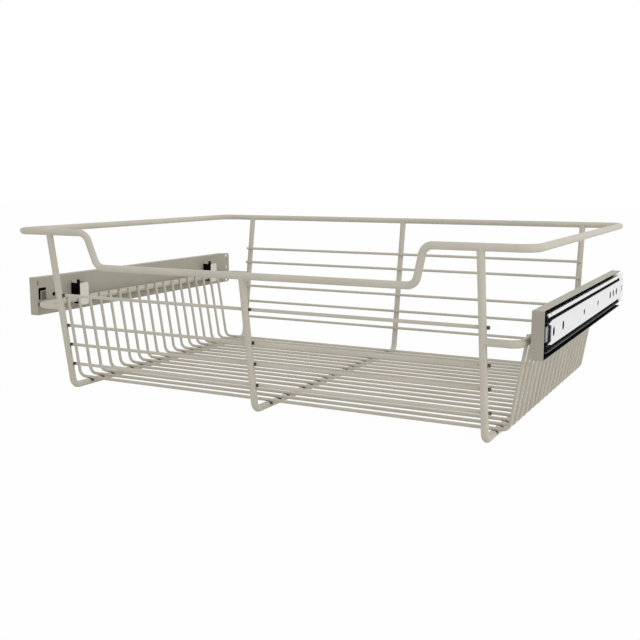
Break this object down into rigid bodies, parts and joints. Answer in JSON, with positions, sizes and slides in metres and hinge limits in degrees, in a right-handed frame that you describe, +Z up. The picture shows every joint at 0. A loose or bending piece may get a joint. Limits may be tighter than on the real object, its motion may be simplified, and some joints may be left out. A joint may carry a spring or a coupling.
{
  "type": "pull-out cabinet basket",
  "caption": "Welded wire basket with a dipped front, clipped between two full-extension ball-bearing drawer slides that screw to the side walls of a cabinet.",
  "frame": {"origin": "middle of the basket in width and depth, on the surface its ribs stand on", "axes": "+X to the right as seen from the front, +Y into the cabinet, +Z up"},
  "size_m": [0.6024, 0.4384, 0.1867],
  "materials": {
    "powder_coat": "satin warm-grey powder coat",
    "housing_paint": "satin warm-grey paint",
    "hook_paint": "satin light-grey paint",
    "zinc": "bright zinc plate",
    "cage_steel": "plain steel sheet",
    "cage_plastic": "black, greased",
    "ball_steel": "polished",
    "lock_plastic": "black",
    "bumper_rubber": "black",
    "rivet_steel": "plain"
  },
  "bodies": {
    "cabinet_side": {"cabinet_member_left": "zinc", "cabinet_member_right": "zinc", "end_bumper_left": "bumper_rubber", "end_bumper_right": "bumper_rubber"},
    "basket": {"rim": "powder_coat", "rib_left": "powder_coat", "rib_middle": "powder_coat", "rib_right": "powder_coat", "side_rail_left": "powder_coat", "side_rail_right": "powder_coat", "cross_wire_01": "powder_coat", "cross_wire_02": "powder_coat", "cross_wire_03": "powder_coat", "cross_wire_04": "powder_coat", "cross_wire_05": "powder_coat", "cross_wire_06": "powder_coat", "cross_wire_07": "powder_coat", "cross_wire_08": "powder_coat", "cross_wire_09": "powder_coat", "cross_wire_10": "powder_coat", "cross_wire_11": "powder_coat", "cross_wire_12": "powder_coat", "cross_wire_13": "powder_coat", "cross_wire_14": "powder_coat", "cross_wire_15": "powder_coat", "cross_wire_16": "powder_coat", "cross_wire_17": "powder_coat", "cross_wire_18": "powder_coat", "front_wire_1": "powder_coat", "front_wire_2": "powder_coat", "front_wire_3": "powder_coat", "front_wire_4": "powder_coat", "rear_wire_1": "powder_coat", "rear_wire_2": "powder_coat", "rear_wire_3": "powder_coat", "rear_wire_4": "powder_coat", "rear_wire_5": "powder_coat", "slide_housing_left": "housing_paint", "slide_housing_right": "housing_paint", "drawer_member_left": "zinc", "drawer_member_right": "zinc", "front_hook_left": "hook_paint", "front_hook_right": "hook_paint", "rear_hook_left": "hook_paint", "rear_hook_right": "hook_paint", "front_lock_left": "lock_plastic", "front_lock_right": "lock_plastic", "rear_lock_left": "lock_plastic", "rear_lock_right": "lock_plastic", "hook_rivets": "rivet_steel"},
    "intermediate_left": {"intermediate_member_left": "zinc"},
    "outer_cage_left": {"outer_ball_cage_left": "cage_steel", "outer_balls_left": "ball_steel"},
    "inner_cage_left": {"inner_ball_cage_left": "cage_plastic", "inner_balls_left": "ball_steel"},
    "intermediate_right": {"intermediate_member_right": "zinc"},
    "outer_cage_right": {"outer_ball_cage_right": "cage_steel", "outer_balls_right": "ball_steel"},
    "inner_cage_right": {"inner_ball_cage_right": "cage_plastic", "inner_balls_right": "ball_steel"}
  },
  "joints": [
    {"name": "basket_travel", "type": "slide", "parent": "cabinet_side", "child": "basket", "axis": [0, -1, 0], "range_m": [0, 0.38]},
    {"name": "intermediate_left_travel", "type": "slide", "parent": "cabinet_side", "child": "intermediate_left", "axis": [0, -1, 0], "range_m": [0, 0.19]},
    {"name": "outer_cage_left_travel", "type": "slide", "parent": "cabinet_side", "child": "outer_cage_left", "axis": [0, -1, 0], "range_m": [0, 0.095]},
    {"name": "inner_cage_left_travel", "type": "slide", "parent": "cabinet_side", "child": "inner_cage_left", "axis": [0, -1, 0], "range_m": [0, 0.285]},
    {"name": "intermediate_right_travel", "type": "slide", "parent": "cabinet_side", "child": "intermediate_right", "axis": [0, -1, 0], "range_m": [0, 0.19]},
    {"name": "outer_cage_right_travel", "type": "slide", "parent": "cabinet_side", "child": "outer_cage_right", "axis": [0, -1, 0], "range_m": [0, 0.095]},
    {"name": "inner_cage_right_travel", "type": "slide", "parent": "cabinet_side", "child": "inner_cage_right", "axis": [0, -1, 0], "range_m": [0, 0.285]}
  ],
  "couplings": [
    {"joint": "intermediate_left_travel", "follows": "basket_travel", "ratio": 0.5},
    {"joint": "outer_cage_left_travel", "follows": "basket_travel", "ratio": 0.25},
    {"joint": "inner_cage_left_travel", "follows": "basket_travel", "ratio": 0.75},
    {"joint": "intermediate_right_travel", "follows": "basket_travel", "ratio": 0.5},
    {"joint": "outer_cage_right_travel", "follows": "basket_travel", "ratio": 0.25},
    {"joint": "inner_cage_right_travel", "follows": "basket_travel", "ratio": 0.75}
  ]
}
